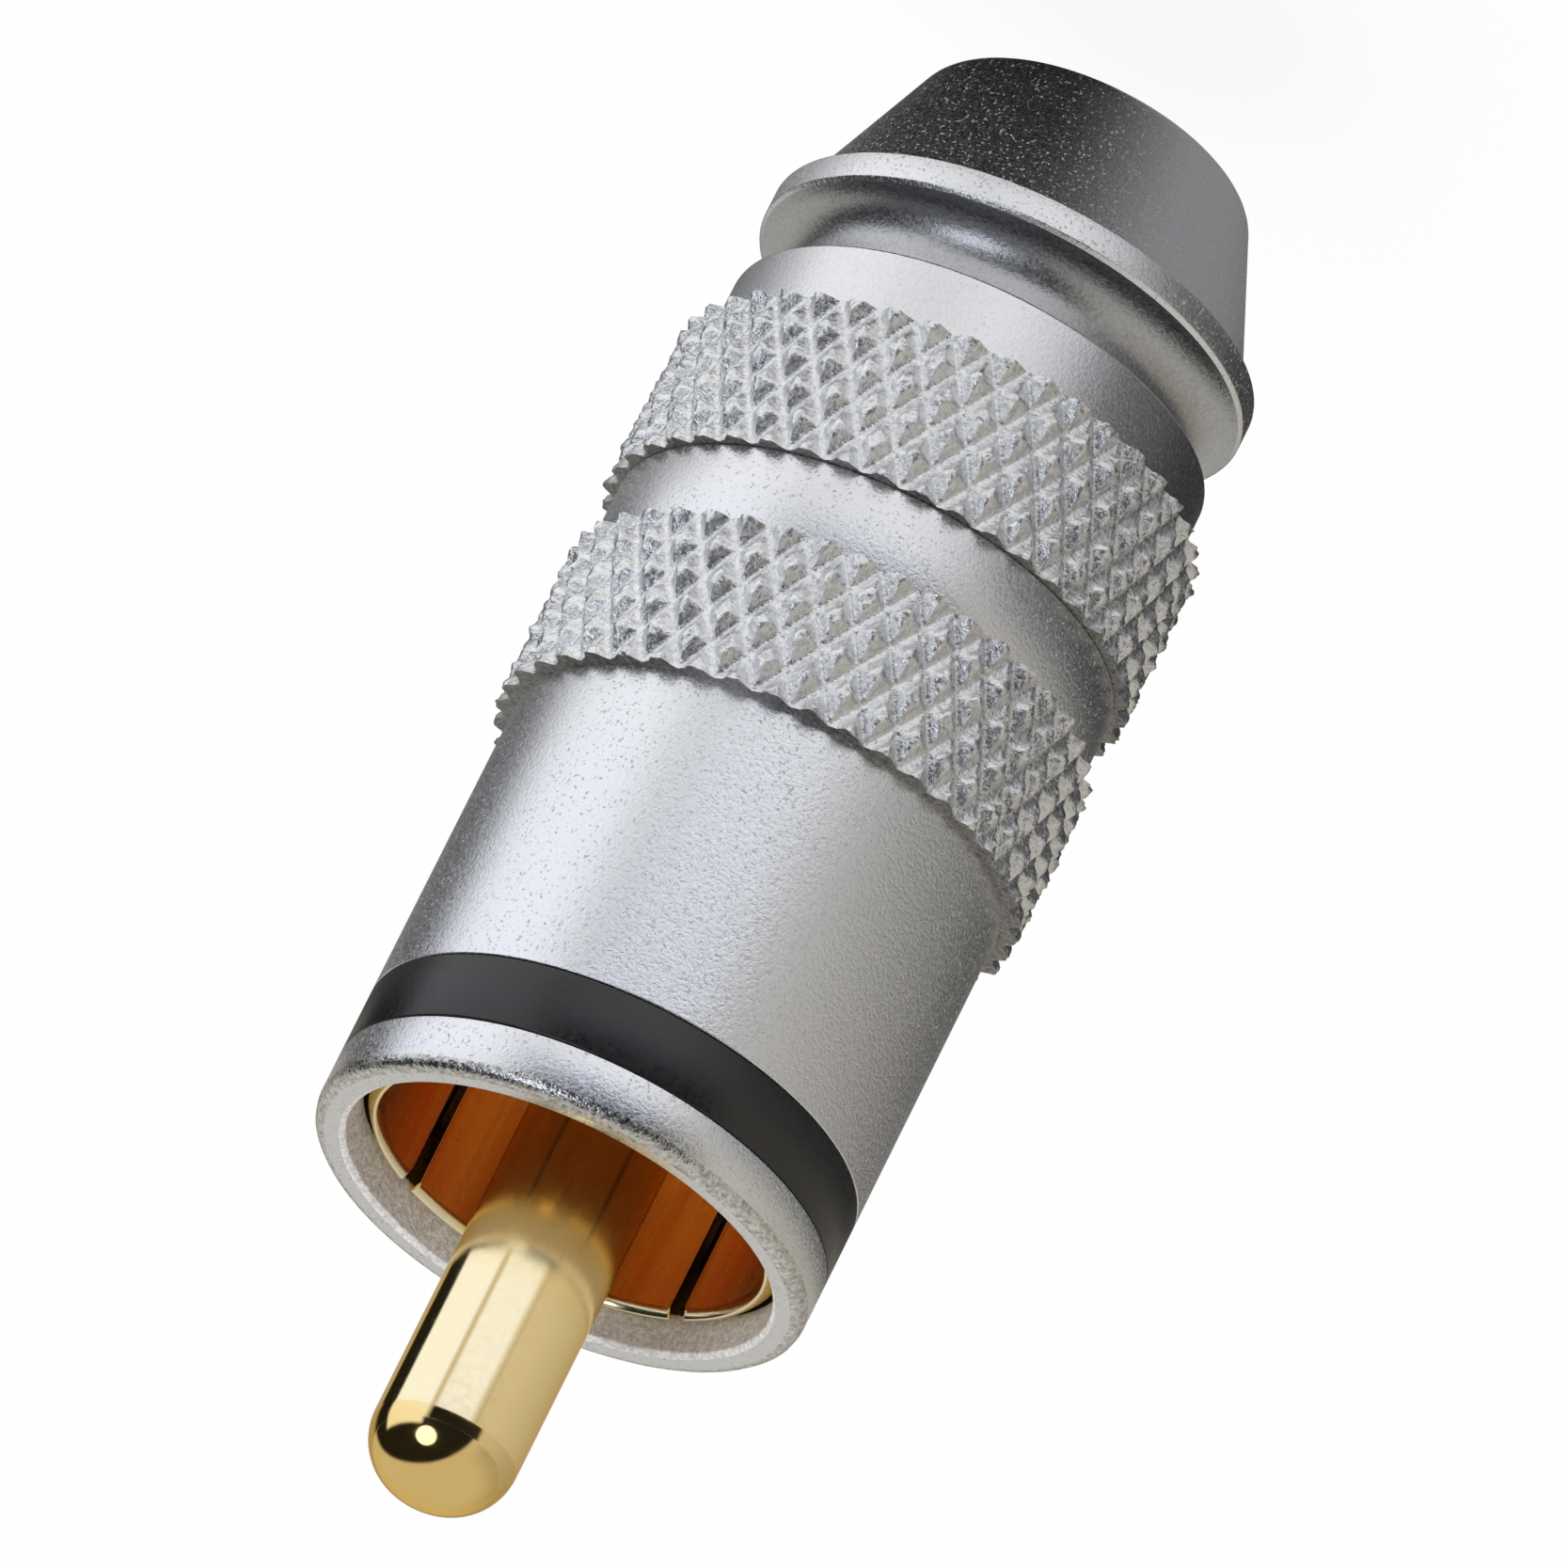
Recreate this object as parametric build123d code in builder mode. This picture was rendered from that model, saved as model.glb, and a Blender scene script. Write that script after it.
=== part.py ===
# Locking phono plug: a slotted ground collar round a centre pin, a knurled sleeve that screws
# forward to close the collar, and a screwed tail that clamps the cable.
# The plug stands on its tail end at Z = 0, and the pin points along +Z. Millimetres.

import os
from math import cos, pi, sin

from build123d import *

# Collar and hub, from the front
collar_recess = 0.65
collar_bore_dia = 8.5
collar_wall = 0.25
collar_depth = 7.0
collar_end_wall = 0.18
bead_height = 0.2
bead_width = 0.85
bead_slope = 0.35
slot_count = 4
slot_width = 0.38
slot_floor = 0.6
hub_wall = 1.1
relief_depth = 0.2
relief_width = 0.6
tail_seat_step = 0.1
tail_seat_width = 0.45
spigot_wall = 0.38
spigot_length = 3.45

# Locking sleeve, from its rear end up to the rim
sleeve_length = 20.95
sleeve_wall = 0.93
rim_round = 0.28
mouth_depth = 2.5
mouth_chamfer = 0.12
mouth_taper = 0.5
mid_band_height = 0.125
rear_band_step = 0.125
knurl_height = 0.5
knurl_depth = 0.4
knurl_teeth = 42
knurl_rows = 5
knurl_length = 3.7
rear_band_width = 1.6
mid_band_width = 1.85

# Colour ring, let into the sleeve behind the rim
ring_start = 1.26
ring_width = 1.54
ring_thickness = 0.35

# Tail shell, from its end face up
cone_length = 4.04
cone_end_dia = 7.2
cone_top_step = 0.295
cone_end_round = 0.5
flange_width = 0.69
flange_height = 1.025
flange_edge_round = 0.08
neck_wall = 0.6
neck_length = 1.62
socket_length = 4.0
pocket_depth = 2.0
end_wall = 1.0
cable_hole_chamfer = 0.2

# Centre pin with its solder cup
pin_dia = 3.2
pin_reach = 14.6
pin_nose_flat = 0.4
pin_land_height = 0.2
pin_collar_height = 0.4
pin_collar_width = 0.8
cup_dia = 2.4
cup_wall = 0.35
cup_depth = 2.6
cup_overhang = 1.5

# Insulators, the screwed ring that holds them, the ground tag and the tube over the solder cup
insulator_head = 1.0
front_insulator_length = 4.15
rear_insulator_length = 3.5
tag_thickness = 0.3
tag_tab_angle = 44
tag_tab_length = 6.0
holding_ring_width = 0.8
spanner_slot_width = 0.8
spanner_slot_depth = 0.4
tube_wall = 0.4
tube_end_gap = 1.6

# Friction ring and stop ring, in grooves of the hub
friction_section = 0.76
friction_groove_play = 0.14
friction_groove_start = 0.9
stop_ring_width = 0.5
stop_ring_section = 0.93
stop_groove_wall = 0.55
stop_ring_gap = 36

# Cable clamp and the ring whose cone closes it
clamp_collar_width = 1.0
clamp_finger_wall = 0.8
clamp_tip_wall = 0.3
clamp_length = 5.4
clamp_taper = 1.6
clamp_slot_count = 6
clamp_slot_width = 0.5
clamp_slot_length = 3.8
cone_ring_length = 1.8
cone_ring_wall = 0.29

# Clearances
thread_clearance = 0.07
running_clearance = 0.05
seat_clearance = 0.02
mouth_clearance = 0.075
stop_ring_clearance = 0.1
tag_clearance = 0.43
holding_ring_clearance = 0.3
clamp_collar_clearance = 0.15
clamp_tab_clearance = 0.15
cable_hole_clearance = 0.1

# Heights
flange_top = cone_length + flange_width
sleeve_bottom = flange_top + neck_length
tail_top = sleeve_bottom + socket_length
stop_ring_bottom = tail_top + tail_seat_width
stop_ring_top = stop_ring_bottom + stop_ring_width
friction_groove_bottom = stop_ring_top + friction_groove_start
friction_groove_top = friction_groove_bottom + friction_section + friction_groove_play
rim_z = sleeve_bottom + sleeve_length
rear_knurl_bottom = sleeve_bottom + rear_band_width
mid_band_bottom = rear_knurl_bottom + knurl_length
mid_band_top = mid_band_bottom + mid_band_width
ring_top = rim_z - ring_start
ring_bottom = ring_top - ring_width
collar_top = rim_z - collar_recess
insulator_top = collar_top - collar_depth
hub_top = insulator_top - insulator_head
pin_top = insulator_top + pin_reach
pin_collar_bottom = insulator_top - front_insulator_length
pin_collar_top = pin_collar_bottom + pin_collar_width
rear_insulator_bottom = pin_collar_bottom - rear_insulator_length
holding_ring_top = rear_insulator_bottom - tag_thickness
holding_ring_bottom = holding_ring_top - holding_ring_width
spigot_bottom = tail_top - spigot_length
cup_bottom = spigot_bottom - cup_overhang
tube_top = rear_insulator_bottom - tube_end_gap
clamp_bottom = spigot_bottom - clamp_length
cone_ring_top = end_wall + cone_ring_length

# Radii of the hub and what screws onto it
collar_bore = collar_bore_dia / 2
collar_outer = collar_bore + collar_wall
bead_outer = collar_outer + bead_height
relief_outer = collar_outer - relief_depth
tail_seat_outer = collar_outer - tail_seat_step
hub_bore = collar_outer - hub_wall
spigot_outer = hub_bore + spigot_wall
socket_bore = spigot_outer + thread_clearance
sleeve_bore = collar_outer + thread_clearance
friction_outer = sleeve_bore - running_clearance
friction_groove = friction_outer - friction_section - seat_clearance
stop_groove = hub_bore + stop_groove_wall
stop_ring_inner = stop_groove + seat_clearance
stop_ring_outer = stop_ring_inner + stop_ring_section

# Radii of the sleeve and the tail
rear_bore = stop_ring_outer + stop_ring_clearance
mouth_bore = bead_outer + mouth_clearance
sleeve_outer = sleeve_bore + sleeve_wall
mid_band_outer = sleeve_outer + mid_band_height
rear_band_outer = sleeve_outer - rear_band_step
knurl_crest = sleeve_outer + knurl_height
knurl_root = knurl_crest - knurl_depth
ring_groove = sleeve_outer - ring_thickness - seat_clearance
neck_outer = socket_bore + neck_wall
flange_outer = neck_outer + flange_height
cone_top = flange_outer - cone_top_step
scoop_outer = flange_outer - flange_edge_round
scoop_radius = scoop_outer - neck_outer

# Radii of the pieces inside the hub and the tail
pin_outer = pin_dia / 2
pin_land = pin_outer + pin_land_height
pin_collar = pin_land + pin_collar_height
cup_outer = cup_dia / 2
cup_bore = cup_outer - cup_wall
tube_bore = cup_outer + seat_clearance
tube_outer = tube_bore + tube_wall
tag_hole = tube_outer + tag_clearance
tag_tab_outer = tag_hole + tag_thickness
holding_ring_hole = tag_tab_outer + holding_ring_clearance
clamp_bore = tag_tab_outer + clamp_tab_clearance
clamp_collar = socket_bore - clamp_collar_clearance
clamp_finger = clamp_bore + clamp_finger_wall
clamp_tip = clamp_bore + clamp_tip_wall
cable_hole = clamp_bore + cable_hole_clearance
cone_slope = (clamp_finger - clamp_tip) / clamp_taper
cone_foot = clamp_tip + running_clearance - (clamp_bottom - end_wall) * cone_slope
cone_mouth = cone_foot + cone_ring_length * cone_slope
cone_ring_outer = cone_mouth + cone_ring_wall
pocket = cone_ring_outer + seat_clearance


def knurl_drum(bottom):
    """A drum of diamond pyramids: crests and roots alternate round a row and swap in the next."""
    places = 2 * knurl_teeth

    def point(place, row):
        angle = place * pi / knurl_teeth
        radius = knurl_crest if (place + row) % 2 == 0 else knurl_root
        height = bottom + row * knurl_length / knurl_rows
        return Vector(radius * cos(angle), radius * sin(angle), height)

    def flat(*points):
        return Face(Wire.make_polygon(points))

    faces = [flat(*[point(place, row) for place in range(places)]) for row in (0, knurl_rows)]
    for row in range(knurl_rows):
        for place in range(places):
            low_left = point(place, row)
            low_right = point(place + 1, row)
            high_left = point(place, row + 1)
            high_right = point(place + 1, row + 1)
            if (place + row) % 2 == 0:
                faces.append(flat(low_left, low_right, high_left))
                faces.append(flat(low_right, high_right, high_left))
            else:
                faces.append(flat(low_left, low_right, high_right))
                faces.append(flat(low_left, high_right, high_left))
    return Solid(Shell(faces))


# Locking sleeve: the turned blank, the knurled rings, then the ring groove and the bore
with BuildPart() as locking_sleeve:
    with BuildSketch(Plane.XZ):
        with BuildLine():
            Polyline(
                (0, rim_z),
                (sleeve_outer, rim_z),
                (sleeve_outer, mid_band_top),
                (mid_band_outer, mid_band_top),
                (mid_band_outer, mid_band_bottom),
                (rear_band_outer, mid_band_bottom),
                (rear_band_outer, sleeve_bottom),
                (0, sleeve_bottom),
                close=True,
            )
        make_face()
    revolve(axis=Axis.Z)
    rim_edge = locking_sleeve.edges().filter_by(GeomType.CIRCLE).sort_by(Axis.Z)[-1]
    fillet(rim_edge, rim_round)
    for knurl_bottom in (rear_knurl_bottom, mid_band_top):
        add(knurl_drum(knurl_bottom))
    with BuildSketch(Plane.XZ):
        with BuildLine():
            Polyline(
                (ring_groove, ring_bottom - seat_clearance),
                (knurl_crest + sleeve_wall, ring_bottom - seat_clearance),
                (knurl_crest + sleeve_wall, ring_top + seat_clearance),
                (ring_groove, ring_top + seat_clearance),
                close=True,
            )
        make_face()
        with BuildLine():
            Polyline(
                (0, sleeve_bottom),
                (rear_bore, sleeve_bottom),
                (rear_bore, stop_ring_top),
                (sleeve_bore, stop_ring_top),
                (sleeve_bore, rim_z - mouth_depth - mouth_taper),
                (mouth_bore, rim_z - mouth_depth),
                (mouth_bore, rim_z - mouth_chamfer),
                (mouth_bore + mouth_chamfer, rim_z),
                (0, rim_z),
                close=True,
            )
        make_face()
    revolve(axis=Axis.Z, mode=Mode.SUBTRACT)

# Colour ring
with BuildPart() as colour_ring:
    with BuildSketch(Plane.XY.offset(ring_bottom)):
        Circle(sleeve_outer)
        Circle(sleeve_outer - ring_thickness, mode=Mode.SUBTRACT)
    extrude(amount=ring_width)

# Ground body: collar, hub and spigot turned in one, the collar slotted into springy petals
with BuildPart() as ground_body:
    with BuildSketch(Plane.XZ):
        with BuildLine():
            Polyline(
                (collar_bore, collar_top),
                (collar_bore + collar_end_wall, collar_top),
                (bead_outer, collar_top - bead_slope),
                (bead_outer, collar_top - bead_slope - bead_width),
                (collar_outer, collar_top - 2 * bead_slope - bead_width),
                (collar_outer, hub_top),
                (relief_outer, hub_top),
                (relief_outer, hub_top - relief_width),
                (collar_outer, hub_top - relief_width),
                (collar_outer, friction_groove_top + relief_width),
                (relief_outer, friction_groove_top + relief_width),
                (relief_outer, friction_groove_top),
                (friction_groove, friction_groove_top),
                (friction_groove, friction_groove_bottom),
                (relief_outer, friction_groove_bottom),
                (relief_outer, stop_ring_top + seat_clearance),
                (stop_groove, stop_ring_top + seat_clearance),
                (stop_groove, stop_ring_bottom),
                (tail_seat_outer, stop_ring_bottom),
                (tail_seat_outer, tail_top),
                (spigot_outer, tail_top),
                (spigot_outer, spigot_bottom),
                (hub_bore, spigot_bottom),
                (hub_bore, hub_top),
                (collar_bore, hub_top),
                close=True,
            )
        make_face()
    revolve(axis=Axis.Z)
    with BuildSketch(Plane.XY.offset(insulator_top + slot_floor)):
        with PolarLocations(bead_outer, slot_count, start_angle=180 / slot_count):
            Rectangle(bead_outer, slot_width)
    extrude(amount=collar_depth, mode=Mode.SUBTRACT)

# Centre pin: nose, contact, land, trapped collar, then the solder cup with one side open
with BuildPart() as center_pin:
    with BuildSketch(Plane.XZ):
        with BuildLine():
            Polyline(
                (0, pin_top),
                (0, cup_bottom),
                (cup_outer, cup_bottom),
                (cup_outer, pin_collar_bottom),
                (pin_collar, pin_collar_bottom),
                (pin_collar, pin_collar_top),
                (pin_land, pin_collar_top),
                (pin_land, insulator_top),
                (pin_outer, insulator_top),
                (pin_outer, pin_top),
                close=True,
            )
        make_face()
    revolve(axis=Axis.Z)
    nose_edge = center_pin.edges().filter_by(GeomType.CIRCLE).sort_by(Axis.Z)[-1]
    fillet(nose_edge, pin_outer - pin_nose_flat / 2)
    with BuildSketch(Plane.XY.offset(cup_bottom)):
        Circle(cup_bore)
        Rectangle(cup_dia, cup_dia, align=(Align.CENTER, Align.MAX))
    extrude(amount=cup_depth, mode=Mode.SUBTRACT)

# Front insulator: a head on the collar's floor and a neck that traps the pin's collar
with BuildPart() as front_insulator:
    with BuildSketch(Plane.XZ):
        with BuildLine():
            Polyline(
                (pin_land + seat_clearance, insulator_top),
                (collar_bore - seat_clearance, insulator_top),
                (collar_bore - seat_clearance, hub_top),
                (hub_bore - seat_clearance, hub_top),
                (hub_bore - seat_clearance, pin_collar_bottom),
                (pin_collar + seat_clearance, pin_collar_bottom),
                (pin_collar + seat_clearance, pin_collar_top),
                (pin_land + seat_clearance, pin_collar_top),
                close=True,
            )
        make_face()
    revolve(axis=Axis.Z)

# Rear insulator
with BuildPart() as rear_insulator:
    with BuildSketch(Plane.XY.offset(rear_insulator_bottom)):
        Circle(hub_bore - seat_clearance)
        Circle(cup_outer + seat_clearance, mode=Mode.SUBTRACT)
    extrude(amount=rear_insulator_length)

# Ground tag: a washer with a curved tab for the cable's screen
with BuildPart() as ground_tag:
    with BuildSketch(Plane.XY.offset(holding_ring_top)):
        Circle(hub_bore - seat_clearance)
        Circle(tag_hole, mode=Mode.SUBTRACT)
    extrude(amount=tag_thickness)
    with BuildSketch(Plane.XY.offset(holding_ring_top)):
        with BuildLine():
            tab_start = 90 - tag_tab_angle / 2
            tab_inner = CenterArc((0, 0), tag_hole, tab_start, tag_tab_angle)
            tab_outer = CenterArc((0, 0), tag_tab_outer, tab_start, tag_tab_angle)
            Line(tab_inner @ 0, tab_outer @ 0)
            Line(tab_inner @ 1, tab_outer @ 1)
        make_face()
    extrude(amount=-tag_tab_length)

# Holding ring: screwed into the hub behind the insulators, with a slot across for a spanner
with BuildPart() as holding_ring:
    with BuildSketch(Plane.XY.offset(holding_ring_bottom)):
        Circle(hub_bore - seat_clearance)
        Circle(holding_ring_hole, mode=Mode.SUBTRACT)
    extrude(amount=holding_ring_width)
    with BuildSketch(Plane.XY.offset(holding_ring_bottom)):
        Rectangle(2 * hub_bore, spanner_slot_width)
    extrude(amount=spanner_slot_depth, mode=Mode.SUBTRACT)

# Insulating tube over the solder cup
with BuildPart() as insulating_tube:
    with BuildSketch(Plane.XY.offset(cup_bottom)):
        Circle(tube_outer)
        Circle(tube_bore, mode=Mode.SUBTRACT)
    extrude(amount=tube_top - cup_bottom)

# Friction ring: a rubber ring that steadies the sleeve
with BuildPart() as friction_ring:
    friction_mid = (friction_groove_bottom + friction_groove_top) / 2
    with BuildSketch(Plane.XZ):
        with Locations((friction_outer - friction_section / 2, friction_mid)):
            Circle(friction_section / 2)
    revolve(axis=Axis.Z)

# Stop ring: an open spring ring that the sleeve's shoulder rests on
with BuildPart() as stop_ring:
    with BuildSketch(Plane.XY.offset(stop_ring_bottom)):
        with BuildLine():
            ring_start_angle = stop_ring_gap / 2 - 90
            ring_turn = 360 - stop_ring_gap
            stop_inner = CenterArc((0, 0), stop_ring_inner, ring_start_angle, ring_turn)
            stop_outer = CenterArc((0, 0), stop_ring_outer, ring_start_angle, ring_turn)
            Line(stop_inner @ 0, stop_outer @ 0)
            Line(stop_inner @ 1, stop_outer @ 1)
        make_face()
    extrude(amount=stop_ring_width)

# Tail shell: cone, flange, scooped neck, and the socket that screws onto the spigot
with BuildPart() as tail_shell:
    scoop_top = flange_top + scoop_radius
    with BuildSketch(Plane.XZ):
        with BuildLine():
            Polyline(
                (neck_outer, scoop_top),
                (neck_outer, tail_top),
                (0, tail_top),
                (0, 0),
                (cone_end_dia / 2, 0),
                (cone_top, cone_length),
                (flange_outer, cone_length),
                (flange_outer, flange_top - flange_edge_round),
                (scoop_outer, flange_top),
            )
            RadiusArc((scoop_outer, flange_top), (neck_outer, scoop_top), scoop_radius)
        make_face()
    revolve(axis=Axis.Z)
    end_edge = tail_shell.edges().filter_by(GeomType.CIRCLE).sort_by(Axis.Z)[0]
    fillet(end_edge, cone_end_round)
    with BuildSketch(Plane.XZ):
        with BuildLine():
            Polyline(
                (0, 0),
                (cable_hole + cable_hole_chamfer, 0),
                (cable_hole, cable_hole_chamfer),
                (cable_hole, end_wall),
                (pocket, end_wall),
                (pocket, end_wall + pocket_depth),
                (socket_bore, end_wall + pocket_depth),
                (socket_bore, tail_top),
                (0, tail_top),
                close=True,
            )
        make_face()
    revolve(axis=Axis.Z, mode=Mode.SUBTRACT)

# Cable clamp: a collar under the spigot, and fingers with tapered tips round the cable
with BuildPart() as cable_clamp:
    with BuildSketch(Plane.XZ):
        with BuildLine():
            Polyline(
                (clamp_bore, spigot_bottom),
                (clamp_collar, spigot_bottom),
                (clamp_collar, spigot_bottom - clamp_collar_width),
                (clamp_finger, spigot_bottom - clamp_collar_width),
                (clamp_finger, clamp_bottom + clamp_taper),
                (clamp_tip, clamp_bottom),
                (clamp_bore, clamp_bottom),
                close=True,
            )
        make_face()
    revolve(axis=Axis.Z)
    with BuildSketch(Plane.XY.offset(clamp_bottom)):
        with PolarLocations(clamp_finger, clamp_slot_count):
            Rectangle(clamp_finger, clamp_slot_width)
    extrude(amount=clamp_slot_length, mode=Mode.SUBTRACT)

# Clamp cone: the ring in the tail that closes the clamp's fingers
with BuildPart() as clamp_cone:
    with BuildSketch(Plane.XZ):
        with BuildLine():
            Polyline(
                (cone_foot, end_wall),
                (cone_ring_outer, end_wall),
                (cone_ring_outer, cone_ring_top),
                (cone_mouth, cone_ring_top),
                close=True,
            )
        make_face()
    revolve(axis=Axis.Z)

os.makedirs("parts", exist_ok=True)

locking_sleeve.part.label = "locking_sleeve"
export_step(locking_sleeve.part, "parts/locking_sleeve.step")
colour_ring.part.label = "colour_ring"
export_step(colour_ring.part, "parts/colour_ring.step")
ground_body.part.label = "ground_body"
export_step(ground_body.part, "parts/ground_body.step")
center_pin.part.label = "center_pin"
export_step(center_pin.part, "parts/center_pin.step")
front_insulator.part.label = "front_insulator"
export_step(front_insulator.part, "parts/front_insulator.step")
rear_insulator.part.label = "rear_insulator"
export_step(rear_insulator.part, "parts/rear_insulator.step")
ground_tag.part.label = "ground_tag"
export_step(ground_tag.part, "parts/ground_tag.step")
holding_ring.part.label = "holding_ring"
export_step(holding_ring.part, "parts/holding_ring.step")
insulating_tube.part.label = "insulating_tube"
export_step(insulating_tube.part, "parts/insulating_tube.step")
friction_ring.part.label = "friction_ring"
export_step(friction_ring.part, "parts/friction_ring.step")
stop_ring.part.label = "stop_ring"
export_step(stop_ring.part, "parts/stop_ring.step")
tail_shell.part.label = "tail_shell"
export_step(tail_shell.part, "parts/tail_shell.step")
cable_clamp.part.label = "cable_clamp"
export_step(cable_clamp.part, "parts/cable_clamp.step")
clamp_cone.part.label = "clamp_cone"
export_step(clamp_cone.part, "parts/clamp_cone.step")
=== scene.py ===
import math

import bmesh
import bpy
from mathutils import Matrix, Vector, noise


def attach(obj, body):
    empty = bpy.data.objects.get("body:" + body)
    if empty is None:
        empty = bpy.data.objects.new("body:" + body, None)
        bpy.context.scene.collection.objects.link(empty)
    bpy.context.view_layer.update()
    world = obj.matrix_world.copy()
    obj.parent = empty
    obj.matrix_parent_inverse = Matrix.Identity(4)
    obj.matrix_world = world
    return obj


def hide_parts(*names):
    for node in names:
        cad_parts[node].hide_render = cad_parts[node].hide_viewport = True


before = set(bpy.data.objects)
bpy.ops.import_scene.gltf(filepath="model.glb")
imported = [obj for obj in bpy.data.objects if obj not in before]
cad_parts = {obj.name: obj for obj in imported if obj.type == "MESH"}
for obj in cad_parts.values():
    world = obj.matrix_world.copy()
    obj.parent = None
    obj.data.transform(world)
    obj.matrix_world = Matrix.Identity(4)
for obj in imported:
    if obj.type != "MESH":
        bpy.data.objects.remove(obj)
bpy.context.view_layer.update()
mm = 0.001
print("frame loaded, nodes:", len(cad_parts))


# helpers for turned pieces

def wireSection(outline, closed=True):
    # outline: (radius, height, round) in mm, walked once round the section
    rounding = {"least": 3, "perMillimetre": 14}
    bm = bmesh.new()
    verts = [bm.verts.new((r * mm, 0, z * mm)) for r, z, _ in outline]
    for a, b in zip(verts, verts[1:]):
        bm.edges.new((a, b))
    if closed:
        bm.edges.new((verts[-1], verts[0]))
    for vert, (_, _, size) in zip(verts, outline):
        if size:
            segments = max(rounding["least"], int(size * rounding["perMillimetre"]))
            bmesh.ops.bevel(bm, geom=[vert], offset=size * mm, offset_type="OFFSET",
                            segments=segments, profile=0.5, affect="VERTICES", material=-1)
    return bm


def spinSection(bm, steps):
    joinWithin = 1e-7
    bmesh.ops.spin(bm, geom=bm.verts[:] + bm.edges[:], cent=(0, 0, 0), axis=(0, 0, 1),
                   angle=2 * math.pi, steps=steps, use_merge=True)
    bmesh.ops.remove_doubles(bm, verts=bm.verts[:], dist=joinWithin)
    bmesh.ops.recalc_face_normals(bm, faces=bm.faces[:])


def paintFaces(bm, materials, material, chosen):
    # chosen(radius, height, rise) in mm and as the z of the face's normal
    for face in bm.faces:
        centre = face.calc_center_median() / mm
        if chosen(centre.xy.length, centre.z, face.normal.z):
            face.material_index = materials.index(material)


def meshPiece(name, bm, materials, body, nodes, sharpFrom=38):
    for face in bm.faces:
        face.smooth = True
    for edge in bm.edges:
        if len(edge.link_faces) == 2 and edge.calc_face_angle(0) > math.radians(sharpFrom):
            edge.smooth = False
    mesh = bpy.data.meshes.new(name)
    bm.to_mesh(mesh)
    bm.free()
    piece = bpy.data.objects.new(name, mesh)
    bpy.context.scene.collection.objects.link(piece)
    for material in materials:
        mesh.materials.append(material)
    weighted = piece.modifiers.new("evenNormals", "WEIGHTED_NORMAL")
    weighted.keep_sharp = True
    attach(piece, body)
    if nodes:
        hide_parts(*nodes)
    print("made", name, len(mesh.polygons), "faces")


# helpers for materials

def newMaterial(name):
    material = bpy.data.materials.new(name)
    material.use_nodes = True
    tree = material.node_tree
    return material, tree, tree.nodes["Principled BSDF"]


def addNode(tree, kind, **values):
    node = tree.nodes.new(kind)
    for key, value in values.items():
        if key in node.inputs:
            node.inputs[key].default_value = value
        else:
            setattr(node, key, value)
    return node


def objectPoint(tree):
    return addNode(tree, "ShaderNodeTexCoord").outputs["Object"]


def grainNoise(tree, point, scale, detail, roughness):
    node = addNode(tree, "ShaderNodeTexNoise", Scale=scale, Detail=detail, Roughness=roughness)
    tree.links.new(point, node.inputs["Vector"])
    return node.outputs["Fac"]


def spread(tree, value, low, high, toLow, toHigh):
    node = addNode(tree, "ShaderNodeMapRange")
    tree.links.new(value, node.inputs["Value"])
    node.inputs["From Min"].default_value = low
    node.inputs["From Max"].default_value = high
    node.inputs["To Min"].default_value = toLow
    node.inputs["To Max"].default_value = toHigh
    return node.outputs["Result"]


def bumpFrom(tree, height, strength, distance):
    node = addNode(tree, "ShaderNodeBump", Strength=strength, Distance=distance)
    tree.links.new(height, node.inputs["Height"])
    return node.outputs["Normal"]


def mixColours(tree, factor, first, second):
    # first and second are colours or outputs; 6, 7 and 2 are the node's sockets for colours
    node = addNode(tree, "ShaderNodeMix", data_type="RGBA")
    tree.links.new(factor, node.inputs[0])
    for socket, colour in ((node.inputs[6], first), (node.inputs[7], second)):
        if isinstance(colour, tuple):
            socket.default_value = (*colour, 1)
        else:
            tree.links.new(colour, socket)
    return node.outputs[2]


def mathNode(tree, operation, *values):
    node = addNode(tree, "ShaderNodeMath", operation=operation)
    for socket, value in zip(node.inputs, values):
        if isinstance(value, (int, float)):
            socket.default_value = value
        else:
            tree.links.new(value, socket)
    return node.outputs[0]


def turnOf(tree, point):
    # 0 to 1 once round, 0.5 on the camera's side (-Y) and growing towards +X
    apart = addNode(tree, "ShaderNodeSeparateXYZ")
    tree.links.new(point, apart.inputs[0])
    back = mathNode(tree, "MULTIPLY", apart.outputs["Y"], -1.0)
    turn = mathNode(tree, "ARCTAN2", apart.outputs["X"], back)
    return mathNode(tree, "MULTIPLY_ADD", turn, 1 / (2 * math.pi), 0.5), apart


# nickel: bead-blasted satin and the knurled bands; copies painted darker as shade on the rim round
# (with its real grain), the neck, the turned end faces of the knurls and the bore inside, and one
# painted light on the mouth

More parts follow.
